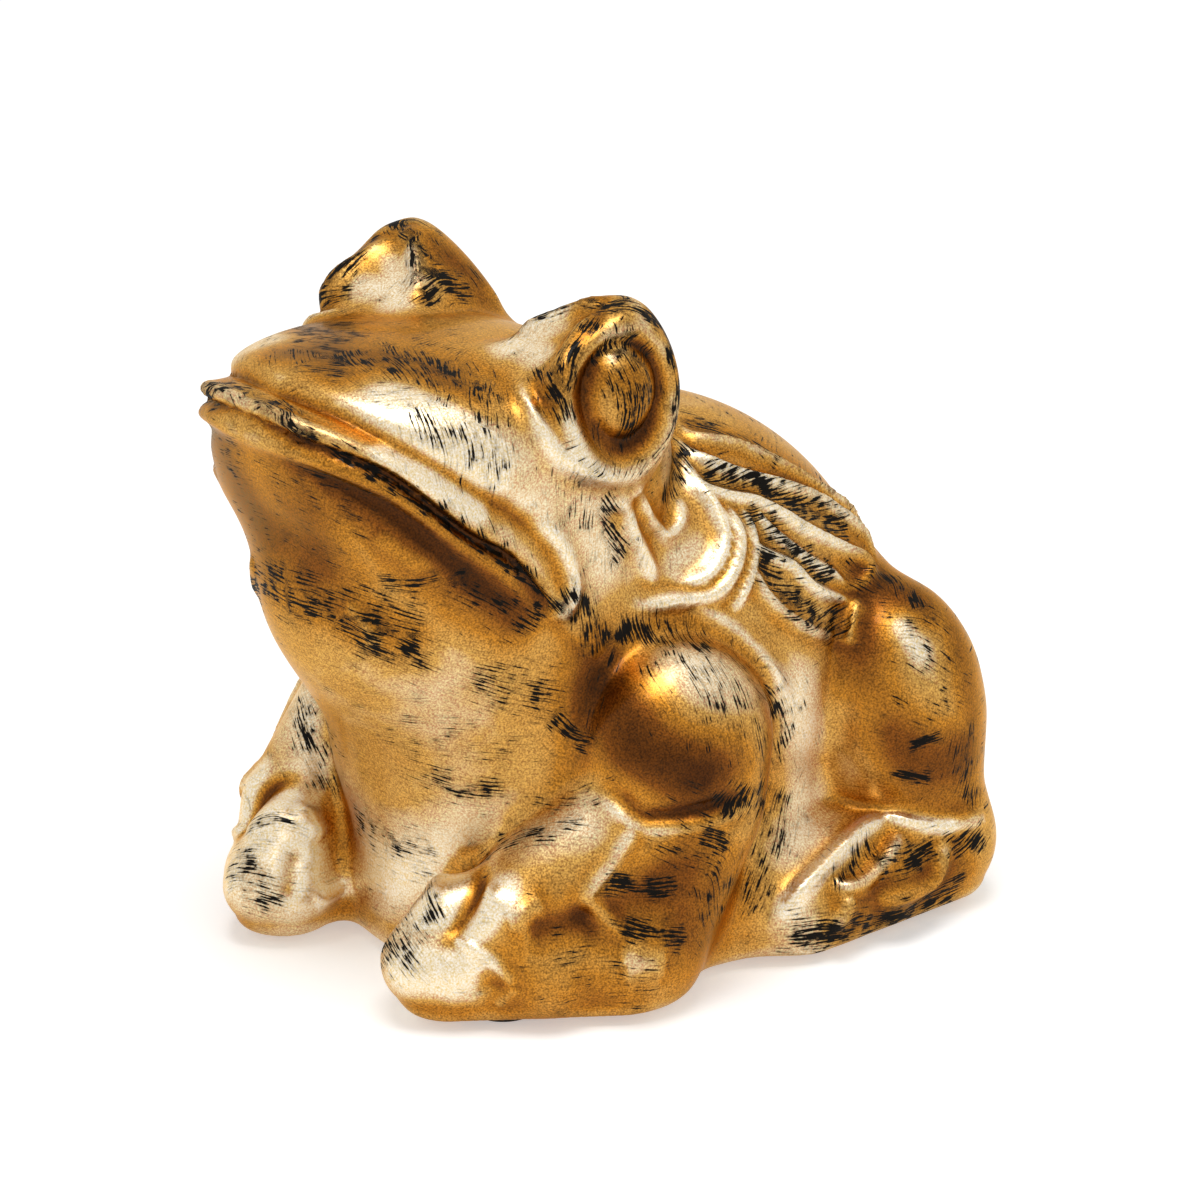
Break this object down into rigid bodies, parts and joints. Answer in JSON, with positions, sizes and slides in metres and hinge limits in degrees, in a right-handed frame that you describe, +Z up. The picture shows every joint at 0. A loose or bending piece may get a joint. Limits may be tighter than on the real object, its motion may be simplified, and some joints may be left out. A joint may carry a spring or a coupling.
{
  "type": "frog figurine",
  "caption": "Seated hollow ceramic frog ornament with a raised snout, ringed eyes on mounds and folded legs, closed by a bung below and standing on felt pads.",
  "frame": {"origin": "centre of the figurine's outline on the surface it stands on", "axes": "the frog looks along -Y, its left side is +X, +Z is up"},
  "size_m": [0.074, 0.0958, 0.0887],
  "materials": {
    "glazed_ceramic": "metallic gold coat brushed with black, under clear gloss lacquer",
    "bung_rubber": "matt",
    "felt": "felt"
  },
  "bodies": {
    "root": {"body_casting": "glazed_ceramic", "pour_hole_bung": "bung_rubber", "felt_pad_front_left": "felt", "felt_pad_front_right": "felt", "felt_pad_hind_left": "felt", "felt_pad_hind_right": "felt"}
  },
  "joints": []
}
